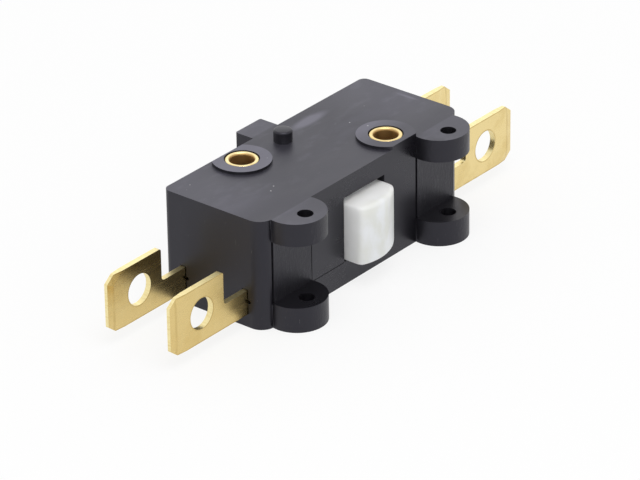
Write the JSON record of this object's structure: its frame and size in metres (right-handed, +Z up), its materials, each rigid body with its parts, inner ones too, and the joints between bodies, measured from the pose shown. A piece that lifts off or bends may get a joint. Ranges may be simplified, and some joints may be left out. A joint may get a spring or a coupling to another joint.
{
  "type": "micro switch",
  "caption": "Double-break snap-action micro switch in a black moulded case, with a white crowned plunger, lever lugs, brass fixing eyelets and flat brass tabs at both ends.",
  "frame": {"origin": "middle of the cover's flat underside, at half the case's length and depth", "axes": "+X along the case and its tabs, -Y the way the plunger sticks out, +Z up from the cover to the top face"},
  "size_m": [0.0702, 0.024, 0.0171],
  "materials": {
    "black_plastic": "black moulded thermoset with a fine spark-eroded texture",
    "white_plastic": "milky, slightly translucent moulded plastic, satin",
    "tab_brass": "bright rolled brass with sheared edges",
    "eyelet_brass": "drawn and curled brass",
    "contact_silver": "silver alloy, satin",
    "bridge_copper": "copper alloy, satin",
    "spring_steel": "stainless spring steel"
  },
  "bodies": {
    "case": {"housing": "black_plastic", "cover": "black_plastic", "eyelet_back": "eyelet_brass", "eyelet_front": "eyelet_brass", "return_spring": "spring_steel", "terminal_closed_left": "tab_brass", "terminal_closed_right": "tab_brass", "terminal_open_left": "tab_brass", "terminal_open_right": "tab_brass", "fixed_contact_closed_left": "contact_silver", "fixed_contact_closed_right": "contact_silver", "fixed_contact_open_left": "contact_silver", "fixed_contact_open_right": "contact_silver"},
    "plunger": {"plunger": "white_plastic", "spring_anchor": "spring_steel"},
    "bridge": {"contact_bridge": "bridge_copper", "moving_contact_left": "contact_silver", "moving_contact_right": "contact_silver", "snap_spring_left": "spring_steel", "snap_spring_right": "spring_steel"}
  },
  "joints": [
    {"name": "plunger_slide", "type": "slide", "parent": "case", "child": "plunger", "axis": [0, 1, 0], "range_m": [0, 0.002], "stiffness_N_per_m": 500, "springref_m": -0.002, "deforming": ["return_spring", "snap_spring_left", "snap_spring_right"]},
    {"name": "bridge_slide", "type": "slide", "parent": "case", "child": "bridge", "axis": [0, 1, 0], "range_m": [-0.001, 0]}
  ],
  "couplings": [
    {"joint": "bridge_slide", "follows": "plunger_slide", "ratio": -0.5}
  ]
}
